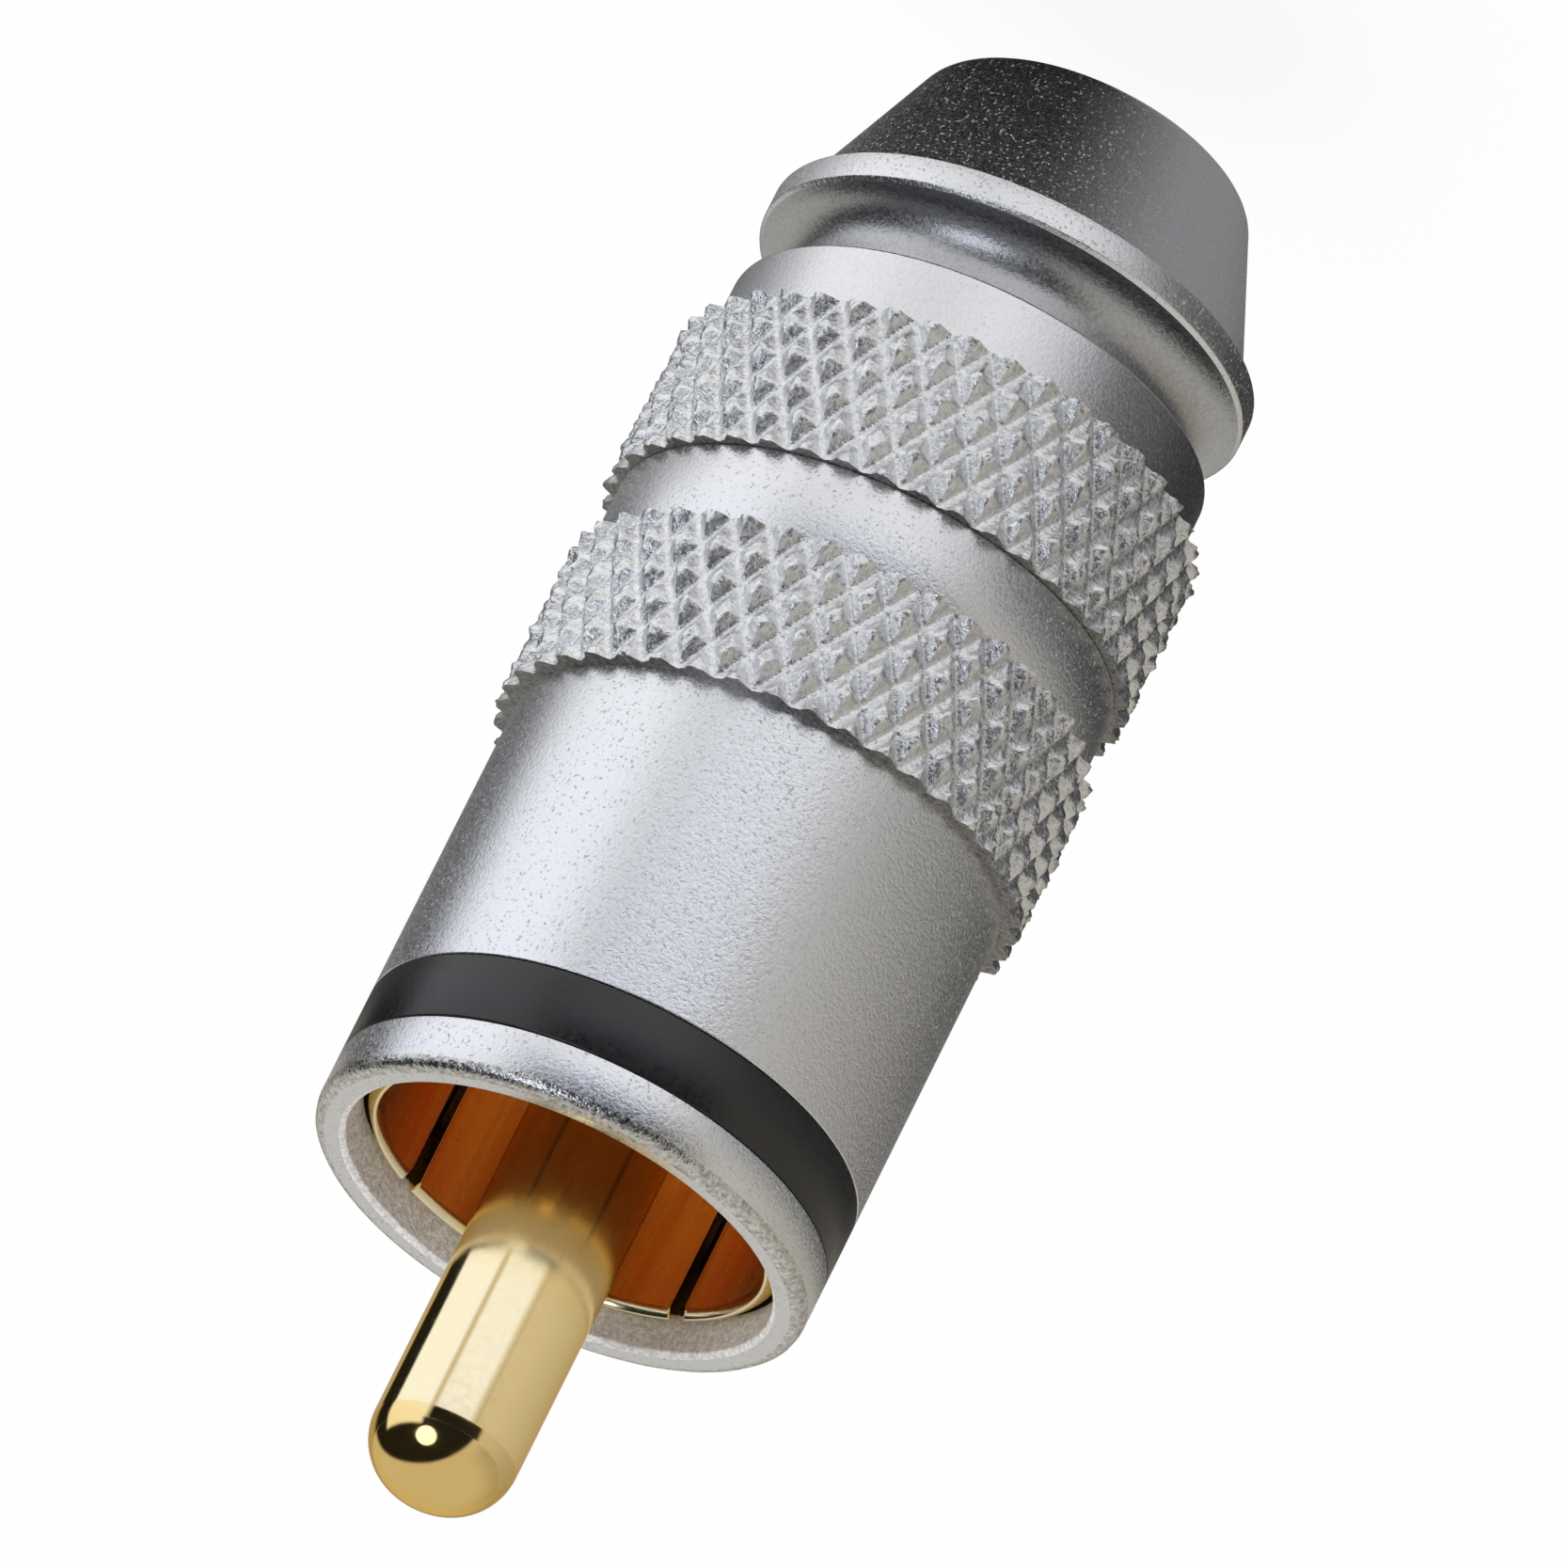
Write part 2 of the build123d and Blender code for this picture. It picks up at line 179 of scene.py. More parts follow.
nickelFinishes = {
    "satinNickel": {
        "light": (0.862, 0.872, 0.900),
        "dark": (0.775, 0.785, 0.812),
        "roughness": (0.24, 0.38),
        "grainScale": 12000,
        "grainDepth": 0.0000115,
        "metal": 1.0,
        "specks": 0.85,
    },
    "smoothNickel": {
        "light": (0.825, 0.835, 0.865),
        "dark": (0.72, 0.73, 0.755),
        "roughness": (0.19, 0.30),
        "grainScale": 12000,
        "grainDepth": 0.000009,
        "metal": 1.0,
        "specks": 0.4,
    },
    "knurledNickel": {
        "light": (0.98, 0.99, 1.0),
        "dark": (0.66, 0.67, 0.69),
        "roughness": (0.28, 0.44),
        "grainScale": 9000,
        "grainDepth": 0.000028,
        "metal": 1.0,
        "specks": 0.7,
    },
    # rim round: its grain and sparkle are real, its darker base is painted shade
    "edgeNickel": {
        "light": (0.92, 0.92, 0.92),
        "dark": (0.40, 0.39, 0.38),
        "roughness": (0.20, 0.34),
        "grainScale": 8000,
        "grainDepth": 0.000030,
        "metal": 1.0,
        "specks": 0.5,
    },
    # darker copy of the satin nickel: painted shade on the scooped neck
    "shadedNeckNickel": {
        "light": (0.60, 0.605, 0.625),
        "dark": (0.43, 0.435, 0.45),
        "roughness": (0.30, 0.42),
        "grainScale": 11000,
        "grainDepth": 0.000010,
        "metal": 1.0,
        "specks": 0.5,
    },
    # pale, mostly diffuse copy of nickel: painted light on the mouth's chamfer and the top of its
    # bore
    "litMouthNickel": {
        "light": (1.0, 1.0, 1.0),
        "dark": (0.62, 0.62, 0.63),
        "roughness": (0.40, 0.60),
        "grainScale": 8000,
        "grainDepth": 0.000030,
        "metal": 0.12,
        "specks": 0.5,
    },
    # darkened copy of nickel: painted shade on the end faces of the knurls
    "shadedEndNickel": {
        "light": (0.46, 0.45, 0.43),
        "dark": (0.14, 0.135, 0.13),
        "roughness": (0.45, 0.60),
        "grainScale": 9000,
        "grainDepth": 0.000022,
        "metal": 1.0,
        "specks": 0.5,
    },
    # near-black copy of nickel: painted shade inside the sleeve's bore
    "shadedBoreNickel": {
        "light": (0.16, 0.155, 0.15),
        "dark": (0.07, 0.068, 0.065),
        "roughness": (0.45, 0.60),
        "grainScale": 9000,
        "grainDepth": 0.000015,
        "metal": 1.0,
        "specks": 0.5,
    },
}


def makeNickel(name):
    nickel = nickelFinishes[name]
    texture = {
        "grain": (2.0, 0.7),
        "colourRange": (0.32, 0.68),
        "roughRange": (0.35, 0.7),
        "speckScale": 1.1,
        "speck": (1.0, 0.5),
        "speckRange": (0.60, 0.69),
        "bump": 1.0,
    }
    material, tree, shader = newMaterial(name)
    point = objectPoint(tree)
    grain = grainNoise(tree, point, nickel["grainScale"], *texture["grain"])
    tree.links.new(mixColours(tree, spread(tree, grain, *texture["colourRange"], 0, 1),
                              nickel["dark"], nickel["light"]), shader.inputs["Base Color"])
    speck = grainNoise(tree, point, texture["speckScale"] * nickel["grainScale"],
                       *texture["speck"])
    specks = spread(tree, speck, *texture["speckRange"], 0, nickel["specks"])
    rough = spread(tree, grain, *texture["roughRange"], *nickel["roughness"])
    tree.links.new(mathNode(tree, "MAXIMUM", specks, rough), shader.inputs["Roughness"])
    tree.links.new(bumpFrom(tree, grain, texture["bump"], nickel["grainDepth"]),
                   shader.inputs["Normal"])
    shader.inputs["Metallic"].default_value = nickel["metal"]
    return material


# polished gold plate

goldFinishes = {
    "goldPlate": {
        "light": (0.97, 0.73, 0.32),
        "deep": (0.94, 0.68, 0.26),
        "roughness": (0.10, 0.18),
        "metal": 1.0,
    },
    # the pin's paler colours, shown only in its painted highlight band
    "pinGold": {
        "light": (0.97, 0.80, 0.47),
        "deep": (0.95, 0.77, 0.43),
        "roughness": (0.07, 0.12),
        "metal": 1.0,
    },
    # darker, redder, less metallic copy of the gold: painted shade inside the collar's bore
    "shadedBoreGold": {
        "light": (0.97, 0.55, 0.14),
        "deep": (0.84, 0.33, 0.05),
        "roughness": (0.16, 0.30),
        "metal": 0.88,
    },
    # paler, creamier copy of the gold: painted light on the collar's end face
    "litEndGold": {
        "light": (1.0, 0.92, 0.66),
        "deep": (0.98, 0.86, 0.56),
        "roughness": (0.12, 0.22),
        "metal": 1.0,
    },
}


def makeGold(name, streaked=False, wearAndPaintedHighlight=None):
    # wearAndPaintedHighlight: heights in mm between which the plate is painted paler, a painted
    # highlight band where the pin's reflected stripes fall, its colour outside them, and how much
    # rougher it is below them
    gold = goldFinishes[name]
    texture = {
        "patchScale": 700,
        "patch": (3.0, 0.6),
        "patchRange": (0.3, 0.7),
        "markScale": 5200,
        "mark": (2.0, 0.6),
        "markRange": (0.3, 0.75),
        "markDepth": 0.000001,
        "bump": 0.4,
        "streaks": 90,
        "streakFall": 60,
        "edge": (1.0, 0.84, 0.52),
    }
    material, tree, shader = newMaterial(name)
    point = objectPoint(tree)
    if streaked:
        place, apart = turnOf(tree, point)
        along = addNode(tree, "ShaderNodeCombineXYZ")
        tree.links.new(mathNode(tree, "MULTIPLY", place, texture["streaks"]), along.inputs["X"])
        tree.links.new(mathNode(tree, "MULTIPLY", apart.outputs["Z"], texture["streakFall"]),
                       along.inputs["Y"])
        patch = grainNoise(tree, along.outputs[0], 1.0, *texture["patch"])
    else:
        patch = grainNoise(tree, point, texture["patchScale"], *texture["patch"])
    patch = spread(tree, patch, *texture["patchRange"], 0, 1)
    marks = grainNoise(tree, point, texture["markScale"], *texture["mark"])
    colour = mixColours(tree, patch, gold["deep"], gold["light"])
    # painted highlight: between the given heights the plate takes the paler colour, outside them
    # the deeper gold
    if wearAndPaintedHighlight:
        height = turnOf(tree, point)[1].outputs["Z"]
        low, high = (tuple(v * mm for v in pair) for pair in wearAndPaintedHighlight["between"])
        pale = mathNode(tree, "MULTIPLY", spread(tree, height, *low, 0, 1),
                        spread(tree, height, *high, 1, 0))
        full = mixColours(tree, patch, wearAndPaintedHighlight["deep"], wearAndPaintedHighlight["light"])
        colour = mixColours(tree, pale, full, colour)
    tree.links.new(colour, shader.inputs["Base Color"])
    rough = spread(tree, marks, *texture["markRange"], *gold["roughness"])
    if wearAndPaintedHighlight:
        rough = mathNode(tree, "ADD", rough, spread(tree, height, *low, wearAndPaintedHighlight["rootRough"], 0))
    tree.links.new(rough, shader.inputs["Roughness"])
    tree.links.new(bumpFrom(tree, marks, texture["bump"], texture["markDepth"]),
                   shader.inputs["Normal"])
    shader.inputs["Metallic"].default_value = gold["metal"]
    shader.inputs["Specular Tint"].default_value = (*texture["edge"], 1)
    return material


# dull black of the colour ring

def makeBlackRing():
    ring = {
        "dark": (0.005, 0.0045, 0.005),
        "light": (0.011, 0.010, 0.011),
        "roughness": (0.24, 0.36),
        "specular": 0.62,
        "grainScale": 9000,
        "grain": (2.0, 0.7),
        "grainDepth": 0.000004,
        "colourRange": (0.35, 0.7),
        "roughRange": (0.3, 0.7),
        "bump": 0.4,
    }
    material, tree, shader = newMaterial("dullBlack")
    point = objectPoint(tree)
    grain = grainNoise(tree, point, ring["grainScale"], *ring["grain"])
    tree.links.new(mixColours(tree, spread(tree, grain, *ring["colourRange"], 0, 1),
                              ring["dark"], ring["light"]), shader.inputs["Base Color"])
    tree.links.new(spread(tree, grain, *ring["roughRange"], *ring["roughness"]),
                   shader.inputs["Roughness"])
    tree.links.new(bumpFrom(tree, grain, ring["bump"], ring["grainDepth"]),
                   shader.inputs["Normal"])
    shader.inputs["Specular IOR Level"].default_value = ring["specular"]
    return material


# plastics, rubber, spring steel and sleeving of the pieces inside

insideFinishes = {
    "waxyWhite": {
        "light": (0.88, 0.86, 0.80),
        "dark": (0.80, 0.77, 0.70),
        "roughness": (0.35, 0.5),
        "grainScale": 2600,
        "grainDepth": 0.000004,
        "metal": 0.0,
    },
    "greyMoulded": {
        "light": (0.26, 0.26, 0.27),
        "dark": (0.18, 0.18, 0.19),
        "roughness": (0.4, 0.55),
        "grainScale": 4200,
        "grainDepth": 0.000005,
        "metal": 0.0,
    },
    "mattRubber": {
        "light": (0.03, 0.03, 0.03),
        "dark": (0.015, 0.015, 0.015),
        "roughness": (0.6, 0.75),
        "grainScale": 5200,
        "grainDepth": 0.000004,
        "metal": 0.0,
    },
    "springSteel": {
        "light": (0.56, 0.56, 0.58),
        "dark": (0.46, 0.46, 0.48),
        "roughness": (0.25, 0.4),
        "grainScale": 5200,
        "grainDepth": 0.000002,
        "metal": 1.0,
    },
    "clearSleeving": {
        "light": (0.78, 0.78, 0.76),
        "dark": (0.66, 0.66, 0.64),
        "roughness": (0.15, 0.3),
        "grainScale": 1800,
        "grainDepth": 0.000004,
        "metal": 0.0,
    },
}


def makeInside(name):
    finish = insideFinishes[name]
    texture = {"grain": (3.0, 0.6), "range": (0.3, 0.7), "bump": 0.3}
    material, tree, shader = newMaterial(name)
    grain = grainNoise(tree, objectPoint(tree), finish["grainScale"], *texture["grain"])
    tree.links.new(mixColours(tree, spread(tree, grain, *texture["range"], 0, 1),
                              finish["dark"], finish["light"]), shader.inputs["Base Color"])
    tree.links.new(spread(tree, grain, *texture["range"], *finish["roughness"]),
                   shader.inputs["Roughness"])
    tree.links.new(bumpFrom(tree, grain, texture["bump"], finish["grainDepth"]),
                   shader.inputs["Normal"])
    shader.inputs["Metallic"].default_value = finish["metal"]
    return material


satinNickel = makeNickel("satinNickel")
knurledNickel = makeNickel("knurledNickel")
smoothNickel = makeNickel("smoothNickel")
edgeNickel = makeNickel("edgeNickel")
shadedNeckNickel = makeNickel("shadedNeckNickel")
litMouthNickel = makeNickel("litMouthNickel")
shadedEndNickel = makeNickel("shadedEndNickel")
shadedBoreNickel = makeNickel("shadedBoreNickel")
goldPlate = makeGold("goldPlate")
# the pin is painted paler between 29.8 and 32.7 mm high: painted highlight; deeper gold at root
# and nose
pinGold = makeGold("pinGold", wearAndPaintedHighlight={
    "between": ((28.0, 29.8), (32.7, 33.5)),
    "rootRough": 0.09,
    "light": (0.97, 0.72, 0.30),
    "deep": (0.95, 0.67, 0.25),
})
shadedBoreGold = makeGold("shadedBoreGold", streaked=True)
litEndGold = makeGold("litEndGold")
dullBlack = makeBlackRing()
waxyWhite = makeInside("waxyWhite")
greyMoulded = makeInside("greyMoulded")
mattRubber = makeInside("mattRubber")
springSteel = makeInside("springSteel")
clearSleeving = makeInside("clearSleeving")
print("materials made")


# locking sleeve: rear band, mid band, plain front with its ring groove, rim and mouth

def makeSleeve():
    sleeve = {
        "steps": 256,
        "rearBand": 5.375,
        "midBand": 5.625,
        "outer": 5.5,
        "ringGroove": 5.13,
        "bottom": 6.35,
        "midBottom": 11.65,
        "midTop": 13.5,
        "ringBottom": 24.48,
        "ringTop": 26.06,
        "rim": 27.3,
        "rimRound": 0.28,
        "mouthBore": 4.775,
        "mouthChamfer": 0.12,
        "mouthFloor": 24.8,
        "mouthShade": 26.3,
        "bore": 4.57,
        "boreTop": 24.3,
        "rearBore": 5.0,
        "shoulder": 11.3,
        "edge": 0.04,
        "rearEdge": 0.08,
        "fineEdge": 0.03,
        "boreEdge": 0.05,
        "wallRise": 0.02,
        "faceRise": 0.99,
        "boreMargin": 0.01,
        "endMargin": 0.1,
        "smoothTop": 9.65,
    }
    s = sleeve
    outline = [
        (s["rearBore"], s["bottom"], s["edge"]),
        (s["rearBand"], s["bottom"], s["rearEdge"]),
        (s["rearBand"], s["midBottom"], 0),
        (s["midBand"], s["midBottom"], s["edge"]),
        (s["midBand"], s["midTop"], s["edge"]),
        (s["outer"], s["midTop"], 0),
        (s["outer"], s["ringBottom"], s["fineEdge"]),
        (s["ringGroove"], s["ringBottom"], 0),
        (s["ringGroove"], s["ringTop"], 0),
        (s["outer"], s["ringTop"], s["fineEdge"]),
        (s["outer"], s["rim"], s["rimRound"]),
        (s["mouthBore"] + s["mouthChamfer"], s["rim"], s["fineEdge"]),
        (s["mouthBore"], s["rim"] - s["mouthChamfer"], s["fineEdge"]),
        (s["mouthBore"], s["mouthShade"], 0),
        (s["mouthBore"], s["mouthFloor"], s["boreEdge"]),
        (s["bore"], s["boreTop"], s["boreEdge"]),
        (s["bore"], s["shoulder"], 0),
        (s["rearBore"], s["shoulder"], 0),
    ]
    bm = wireSection(outline)
    spinSection(bm, s["steps"])
    materials = [satinNickel, edgeNickel, litMouthNickel, shadedBoreNickel, smoothNickel]
    # the rim round takes the darker-based nickel: partly grain, partly painted shade
    paintFaces(bm, materials, edgeNickel, lambda r, z, rise: z > s["rim"] - s["rimRound"]
               and s["wallRise"] < rise < s["faceRise"] and r > s["outer"] - s["rimRound"])
    # the mouth's chamfer and the top of its bore take the pale nickel: painted light
    paintFaces(bm, materials, litMouthNickel, lambda r, z, rise: z > s["mouthShade"]
               and rise < s["faceRise"] and r < s["mouthBore"] + s["mouthChamfer"])
    # the bore below the mouth takes the near-black nickel: painted shade
    paintFaces(bm, materials, shadedBoreNickel, lambda r, z, rise: z < s["mouthShade"]
               and r < s["mouthBore"] + s["boreMargin"])
    paintFaces(bm, materials, smoothNickel, lambda r, z, rise: z < s["smoothTop"]
               and r > s["rearBore"] + s["endMargin"])
    meshPiece("sleeveShell", bm, materials, "sleeve", ["locking_sleeve"])


# knurled bands: diamonds with blunt crests between straight crossing grooves

def makeKnurl(name, bottom):
    knurl = {
        "teeth": 42,
        "rows": 5,
        "length": 3.7,
        "crest": 6.03,
        "root": 5.66,
        "inner": 5.2,
        "perHalfTooth": 7,
        "perRow": 9,
        "crestCut": 0.70,
        "grooveFloor": 0.06,
        "wear": 0.12,
        "wearStride": (1.7, 2.3),
        "torn": 0.42,
        "tornFrom": 0.25,
        "tornSize": 0.16,
        "stepPlace": 0.30,
        "stepWidth": 0.13,
        "stepDepth": 0.22,
        "rootMargin": 0.1,
        "endRise": 0.98,
        "sharpFrom": 60,
    }
    k = knurl
    bm = bmesh.new()
    corners = [(k["inner"], 0), (k["root"], 0),
               (k["root"], k["length"]), (k["inner"], k["length"])]
    verts = [bm.verts.new((r * mm, 0, (bottom + z) * mm)) for r, z in corners]
    edges = [bm.edges.new((a, b)) for a, b in zip(verts, verts[1:] + verts[:1])]
    bmesh.ops.subdivide_edges(bm, edges=[edges[1]], cuts=k["rows"] * k["perRow"] - 1)
    spinSection(bm, 2 * k["teeth"] * k["perHalfTooth"])
    for vert in bm.verts:
        radius = math.hypot(vert.co.x, vert.co.y) / mm
        if radius < k["root"] - k["rootMargin"]:
            continue
        place = math.atan2(vert.co.y, vert.co.x) * k["teeth"] / math.pi
        row = (vert.co.z / mm - bottom) / k["length"] * k["rows"]
        across, along = (place + row) / 2, (place - row) / 2
        height = 1 - 2 * max(abs(across - round(across)), abs(along - round(along)))
        step = abs((along - k["stepPlace"] + 0.5) % 1 - 0.5)
        height -= k["stepDepth"] * max(0, 1 - step / k["stepWidth"]) * min(1, 2 * height)
        crest = Vector((round(across) * k["wearStride"][0], round(along) * k["wearStride"][1],
                        bottom))
        wearAndPaintedHighlight = k["wear"] * noise.noise(crest)
        torn = k["torn"] * noise.noise(vert.co / (k["tornSize"] * mm))
        torn *= max(0, height - k["tornFrom"])
        height = min(height, k["crestCut"] + wearAndPaintedHighlight) + torn
        height = max(height, k["grooveFloor"])
        lift = (k["root"] + (k["crest"] - k["root"]) * height) / radius
        vert.co.x *= lift
        vert.co.y *= lift
    bm.normal_update()
    materials = [knurledNickel, shadedEndNickel]
    # the flat end faces of the knurls take the darkened nickel: painted shade
    paintFaces(bm, materials, shadedEndNickel, lambda r, z, rise: abs(rise) > k["endRise"])
    meshPiece(name, bm, materials, "sleeve", [], k["sharpFrom"])


# colour ring

def makeColourRing():
    ring = {"inner": 5.15, "outer": 5.5, "bottom": 24.5, "top": 26.04, "edge": 0.04, "steps": 256}
    outline = [
        (ring["inner"], ring["bottom"], 0),
        (ring["outer"], ring["bottom"], ring["edge"]),
        (ring["outer"], ring["top"], ring["edge"]),
        (ring["inner"], ring["top"], 0),
    ]
    bm = wireSection(outline)
    spinSection(bm, ring["steps"])
    meshPiece("colourBand", bm, [dullBlack], "ring_carrier", ["colour_ring"])


# centre pin: domed nose, contact, land and trapped collar

def makePin():
    pin = {
        "steps": 192,
        "radius": 1.6,
        "tip": 34.25,
        "nose": 1.4,
        "land": 1.8,
        "landTop": 19.65,
        "collar": 2.2,
        "collarTop": 16.3,
        "collarBottom": 15.5,
        "cup": 1.2,
        "cupTop": 8.0,
        "edge": 0.03,
        "collarEdge": 0.05,
    }
    outline = [
        (0, pin["tip"], 0),
        (pin["radius"], pin["tip"], pin["nose"]),
        (pin["radius"], pin["landTop"], pin["edge"]),
        (pin["land"], pin["landTop"], pin["edge"]),
        (pin["land"], pin["collarTop"], 0),
        (pin["collar"], pin["collarTop"], pin["collarEdge"]),
        (pin["collar"], pin["collarBottom"], pin["collarEdge"]),
        (pin["cup"], pin["collarBottom"], 0),
        (pin["cup"], pin["cupTop"], 0),
        (0, pin["cupTop"], 0),
    ]
    bm = wireSection(outline, closed=False)
    spinSection(bm, pin["steps"])
    meshPiece("contactPin", bm, [pinGold], "body", ["center_pin"])


def makeSolderCup():
    cup = {
        "outer": 1.2,
        "bore": 0.85,
        "bottom": 5.4,
        "top": 8.0,
        "edge": 0.05,
        "edgesTo": 7.9,
        "sharpFrom": 1,
        "steps": 48,
    }
    bm = bmesh.new()
    corners = [(cup["bore"], cup["bottom"]), (cup["outer"], cup["bottom"]),
               (cup["outer"], cup["top"]), (cup["bore"], cup["top"])]
    verts = [bm.verts.new((r * mm, 0, z * mm)) for r, z in corners]
    face = bm.faces.new(verts)
    bmesh.ops.spin(bm, geom=[face] + face.edges[:] + verts, cent=(0, 0, 0), axis=(0, 0, 1),
                   angle=math.pi, steps=cup["steps"])
    bmesh.ops.recalc_face_normals(bm, faces=bm.faces[:])
    rims = [edge for edge in bm.edges if edge.calc_face_angle(0) > cup["sharpFrom"]
            and min(v.co.z for v in edge.verts) < cup["edgesTo"] * mm]
    bmesh.ops.bevel(bm, geom=rims, offset=cup["edge"] * mm, offset_type="OFFSET", segments=2,
                    profile=0.5, affect="EDGES", material=-1)
    meshPiece("solderCup", bm, [goldPlate], "body", [])


# ground collar: turned with its hub, then slotted into four petals

def makeCollar():
    collar = {
        "steps": 288,
        "bore": 4.25,
        "outer": 4.5,
        "endRadius": 4.43,
        "bead": 4.7,
        "top": 26.65,
        "beadTop": 26.3,
        "beadBottom": 25.45,
        "beadFoot": 25.1,
        "hubTop": 18.65,
        "relief": 4.3,
        "reliefWidth": 0.6,
        "slotFloor": 20.25,
        "slotWidth": 5.0,
        "slots": 4,
        "petalEdge": 0.03,
        "leadIn": 0.10,
        "leadDepth": 0.24,
        "frictionTop": 13.12,
        "frictionBottom": 12.22,
        "frictionGroove": 3.74,
        "stopTop": 11.32,
        "stopGroove": 3.95,
        "stopBottom": 10.8,
        "tailSeat": 4.4,
        "tailTop": 10.35,
        "spigot": 3.78,
        "spigotBottom": 6.9,
        "hubBore": 3.4,
        "beadRound": 0.14,
        "footRound": 0.1,
        "spigotRound": 0.1,
        "hubEdge": 0.05,
        "closeTo": 1e-6,
        "slotReach": 3,
        "edgesAbove": 20.35,
        "sharpFrom": 0.75,
        "boreMargin": 0.02,
        "endRise": 0.25,
    }
    c = collar
    outline = [
        (c["bore"], c["top"] - c["leadDepth"], 0),
        (c["bore"] + c["leadIn"], c["top"], 0),
        (c["endRadius"], c["top"], 0),
        (c["bead"], c["beadTop"], c["beadRound"]),
        (c["bead"], c["beadBottom"], c["beadRound"]),
        (c["outer"], c["beadFoot"], c["footRound"]),
        (c["outer"], c["slotFloor"], 0),
        (c["outer"], c["hubTop"], 0),
        (c["relief"], c["hubTop"], 0),
        (c["relief"], c["hubTop"] - c["reliefWidth"], 0),
        (c["outer"], c["hubTop"] - c["reliefWidth"], 0),
        (c["outer"], c["frictionTop"] + c["reliefWidth"], 0),
        (c["relief"], c["frictionTop"] + c["reliefWidth"], 0),
        (c["relief"], c["frictionTop"], 0),
        (c["frictionGroove"], c["frictionTop"], 0),
        (c["frictionGroove"], c["frictionBottom"], 0),
        (c["relief"], c["frictionBottom"], 0),
        (c["relief"], c["stopTop"], 0),
        (c["stopGroove"], c["stopTop"], 0),
        (c["stopGroove"], c["stopBottom"], 0),
        (c["tailSeat"], c["stopBottom"], 0),
        (c["tailSeat"], c["tailTop"], 0),
        (c["spigot"], c["tailTop"], 0),
        (c["spigot"], c["spigotBottom"], c["spigotRound"]),
        (c["hubBore"], c["spigotBottom"], c["hubEdge"]),
        (c["hubBore"], c["hubTop"], 0),
        (c["bore"], c["hubTop"], 0),
        (c["bore"], c["slotFloor"], 0),
    ]
    bm = wireSection(outline)
    spinSection(bm, c["steps"])
    floorZ = c["slotFloor"] * mm
    half = c["slotWidth"] / 2

    def inSlot(point):
        turn = math.degrees(math.atan2(point.y, point.x)) % (360 / c["slots"])
        return abs(turn - 180 / c["slots"]) < half

    cut = [face for face in bm.faces
           if face.calc_center_median().z > floorZ and inSlot(face.calc_center_median())]
    bmesh.ops.delete(bm, geom=cut, context="FACES")
    for count in range(c["slots"]):
        middle = math.radians((count + 0.5) * 360 / c["slots"])
        sides = []
        for side in (-1, 1):
            angle = middle + side * math.radians(half)
            across = Vector((-math.sin(angle), math.cos(angle), 0))
            outwards = Vector((math.cos(angle), math.sin(angle), 0))
            chain = [edge for edge in bm.edges if edge.is_boundary
                     and all(abs(v.co.dot(across)) < c["closeTo"] and v.co.dot(outwards) > 0
                             for v in edge.verts)]
            feet = sorted((v for v in {v for edge in chain for v in edge.verts}
                           if abs(v.co.z - floorZ) < c["closeTo"]), key=lambda v: v.co.xy.length)
            sill = bm.edges.new((feet[0], feet[-1]))
            bmesh.ops.contextual_create(bm, geom=[*chain, sill])
            sides.append(sill)
        ahead = Vector((math.cos(middle), math.sin(middle), 0))
        arcs = [edge for edge in bm.edges if edge.is_boundary and edge not in sides
                and all(abs(v.co.z - floorZ) < c["closeTo"]
                        and v.co.dot(ahead) > c["slotReach"] * mm for v in edge.verts)]
        bmesh.ops.contextual_create(bm, geom=arcs + sides)
    bmesh.ops.recalc_face_normals(bm, faces=bm.faces[:])
    rims = [edge for edge in bm.edges if len(edge.link_faces) == 2
            and edge.calc_face_angle(0) > c["sharpFrom"]
            and min(v.co.z for v in edge.verts) > c["edgesAbove"] * mm]
    bmesh.ops.bevel(bm, geom=rims, offset=c["petalEdge"] * mm, offset_type="OFFSET", segments=2,
                    profile=0.5, affect="EDGES", material=-1, clamp_overlap=True)
    bm.normal_update()
    materials = [goldPlate, shadedBoreGold, litEndGold]
    # the collar's bore takes the darker gold: painted shade
    paintFaces(bm, materials, shadedBoreGold, lambda r, z, rise: z > c["hubTop"]
               and r < c["bore"] + c["boreMargin"])
    # the collar's end face takes the pale gold: painted light
    paintFaces(bm, materials, litEndGold, lambda r, z, rise: z > c["top"] - c["leadDepth"]
               and rise > c["endRise"] and r < c["endRadius"])
    meshPiece("groundCollar", bm, materials, "body", ["ground_body"])


# tail: cone, flange, scooped neck and the socket behind it

